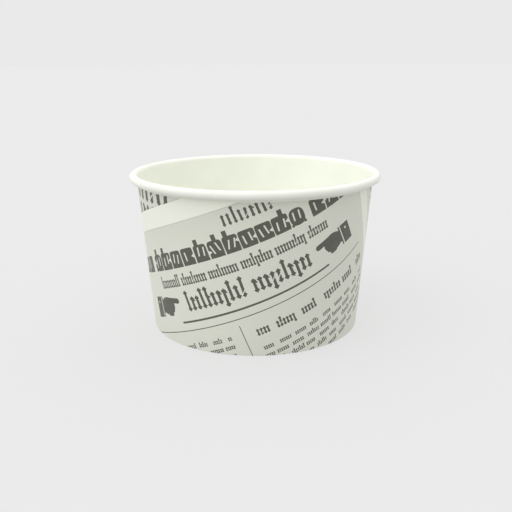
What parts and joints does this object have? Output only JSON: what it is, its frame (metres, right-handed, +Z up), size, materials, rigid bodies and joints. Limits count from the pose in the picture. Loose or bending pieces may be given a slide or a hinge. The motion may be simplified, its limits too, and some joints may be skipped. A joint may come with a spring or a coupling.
{
  "type": "paper soup bowl",
  "caption": "Tapered round paper soup bowl with a rolled rim, a lapped side seam, a folded heel and a recessed base disc, in a newsprint pattern.",
  "frame": {"origin": "middle of the heel ring, on the surface that the bowl stands on", "axes": "+Z up along the bowl's axis, -Y to the front, the lap seam at the left just behind -X"},
  "size_m": [0.115, 0.115, 0.072],
  "materials": {
    "printed_board": "white coated board, printed outside in dark grey on pale grey",
    "coated_board": "white coated board, satin"
  },
  "bodies": {
    "root": {"sidewall": "printed_board", "base_disc": "coated_board"}
  },
  "joints": []
}
